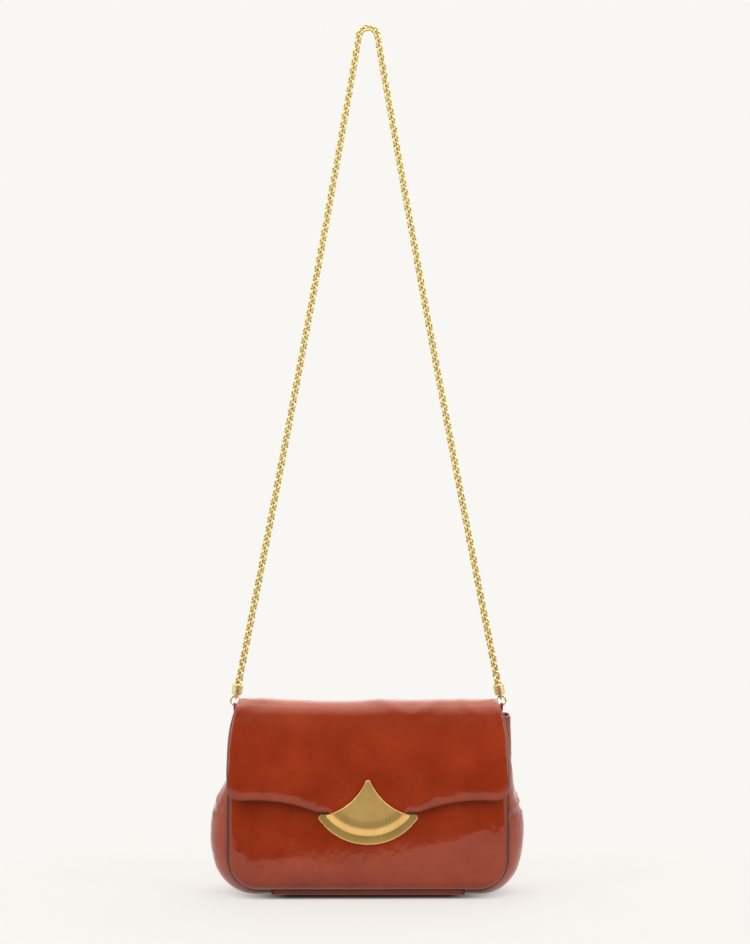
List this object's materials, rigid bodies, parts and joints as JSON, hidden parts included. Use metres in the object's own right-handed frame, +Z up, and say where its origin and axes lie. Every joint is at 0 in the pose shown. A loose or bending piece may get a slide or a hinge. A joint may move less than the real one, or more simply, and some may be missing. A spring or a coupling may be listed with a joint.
{
  "type": "chain shoulder bag",
  "caption": "Small soft leather shoulder bag with a fold-over flap, a fan-shaped magnetic clasp, swelling side gussets and a link chain strap on corner rings.",
  "frame": {"origin": "middle of the base strip, on the surface that the bag stands on", "axes": "+X to the bag's right as seen from the front, +Y to its back, +Z up; the clasp faces -Y"},
  "size_m": [0.237, 0.0833, 0.6593],
  "materials": {
    "patent_leather": "high gloss, finely creased",
    "lining_cloth": "woven, matt",
    "antique_brass": "aged satin with bright edges",
    "gold_brass": "polished",
    "magnet_steel": "plated",
    "stiffener": "matt"
  },
  "bodies": {
    "bag": {"front_panel": "patent_leather", "back_panel": "patent_leather", "gusset_left": "patent_leather", "gusset_right": "patent_leather", "base_strip": "patent_leather", "tab_left": "patent_leather", "tab_right": "patent_leather", "lining_front": "lining_cloth", "lining_back": "lining_cloth", "lining_gusset_left": "lining_cloth", "lining_gusset_right": "lining_cloth", "lining_base": "lining_cloth", "clasp_base_plate": "antique_brass", "clasp_base_backplate": "antique_brass", "clasp_base_rivets": "antique_brass", "clasp_magnet_front": "magnet_steel", "base_board": "stiffener"},
    "flap": {"flap_leather": "patent_leather", "flap_lining": "lining_cloth", "clasp_fan": "antique_brass", "clasp_fan_studs": "antique_brass", "clasp_magnet_flap": "magnet_steel"},
    "rings": {"ring_left": "gold_brass", "ring_right": "gold_brass"},
    "strap": {"chain_links": "gold_brass", "end_cap_left": "gold_brass", "end_cap_right": "gold_brass", "end_cap_pins": "gold_brass"}
  },
  "joints": [
    {"name": "flap_open", "type": "hinge", "parent": "bag", "child": "flap", "pos_m": [0, 0.023, 0.1363], "axis": [-1, 0, 0], "range_deg": [0, 65]},
    {"name": "rings_swing", "type": "hinge", "parent": "bag", "child": "rings", "pos_m": [0, 0.02645, 0.1379], "axis": [-1, 0, 0], "range_deg": [0, 45]},
    {"name": "strap_swing", "type": "hinge", "parent": "rings", "child": "strap", "pos_m": [0, 0.02645, 0.14557], "axis": [-1, 0, 0], "range_deg": [0, 60]}
  ]
}
